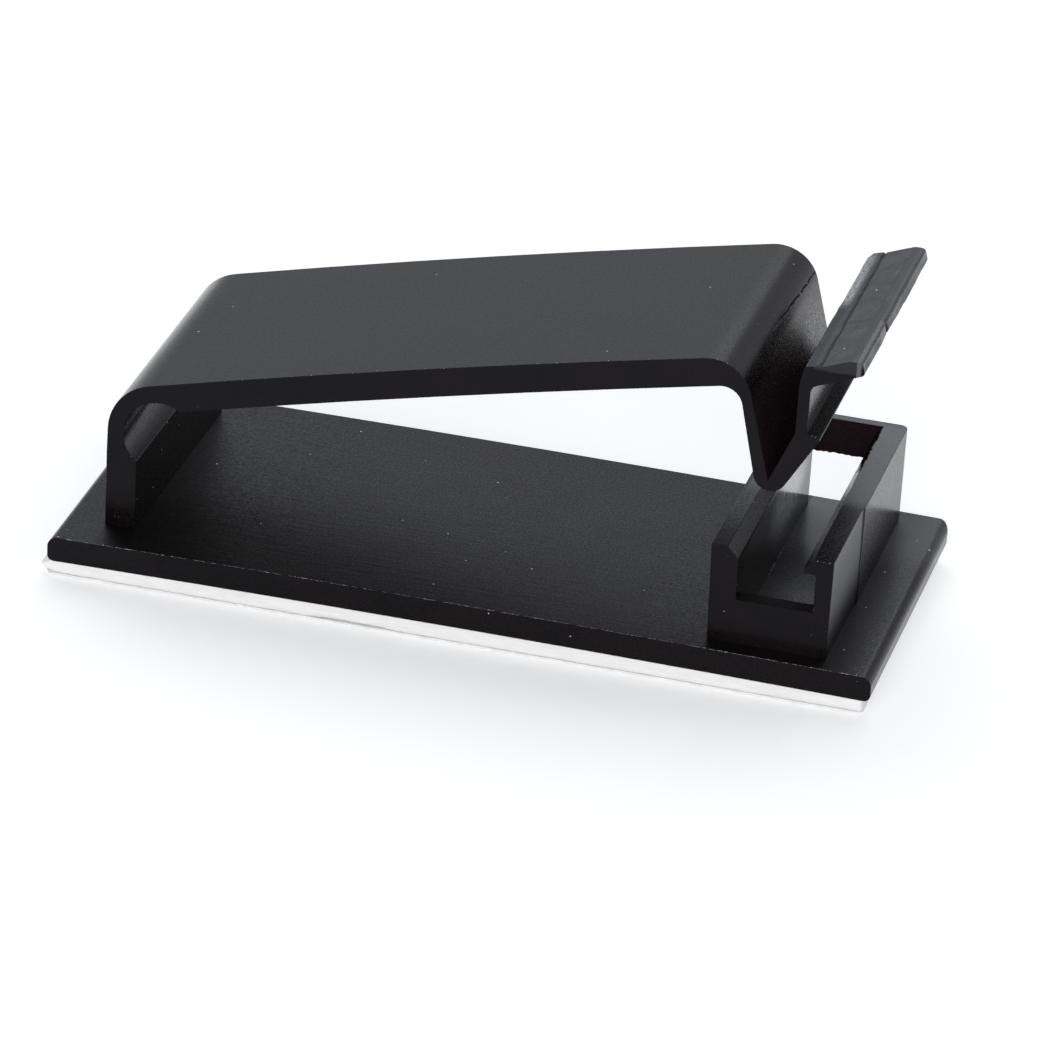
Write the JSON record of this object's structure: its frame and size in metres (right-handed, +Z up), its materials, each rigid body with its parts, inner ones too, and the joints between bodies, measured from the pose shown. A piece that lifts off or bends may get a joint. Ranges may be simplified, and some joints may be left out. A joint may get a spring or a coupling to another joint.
{
  "type": "adhesive cable clip",
  "caption": "Self-adhesive cable clip: flat base, arched strap on a thinned hinge corner, V-shaped latch and hooked catch, drawn open.",
  "frame": {"origin": "middle of the base on the release liner's underside, the surface that the clip is stuck down on", "axes": "+X along the base from the hinge end to the latch end, +Y from the catch's low sill to its back bar, +Z up and away from the surface"},
  "size_m": [0.0565, 0.0254, 0.0234],
  "materials": {
    "moulding": "satin black moulded plastic",
    "foam": "white closed-cell foam tape",
    "liner": "white siliconised paper"
  },
  "bodies": {
    "root": {"clip_body": "moulding", "foam_pad": "foam", "release_liner": "liner"}
  },
  "joints": []
}
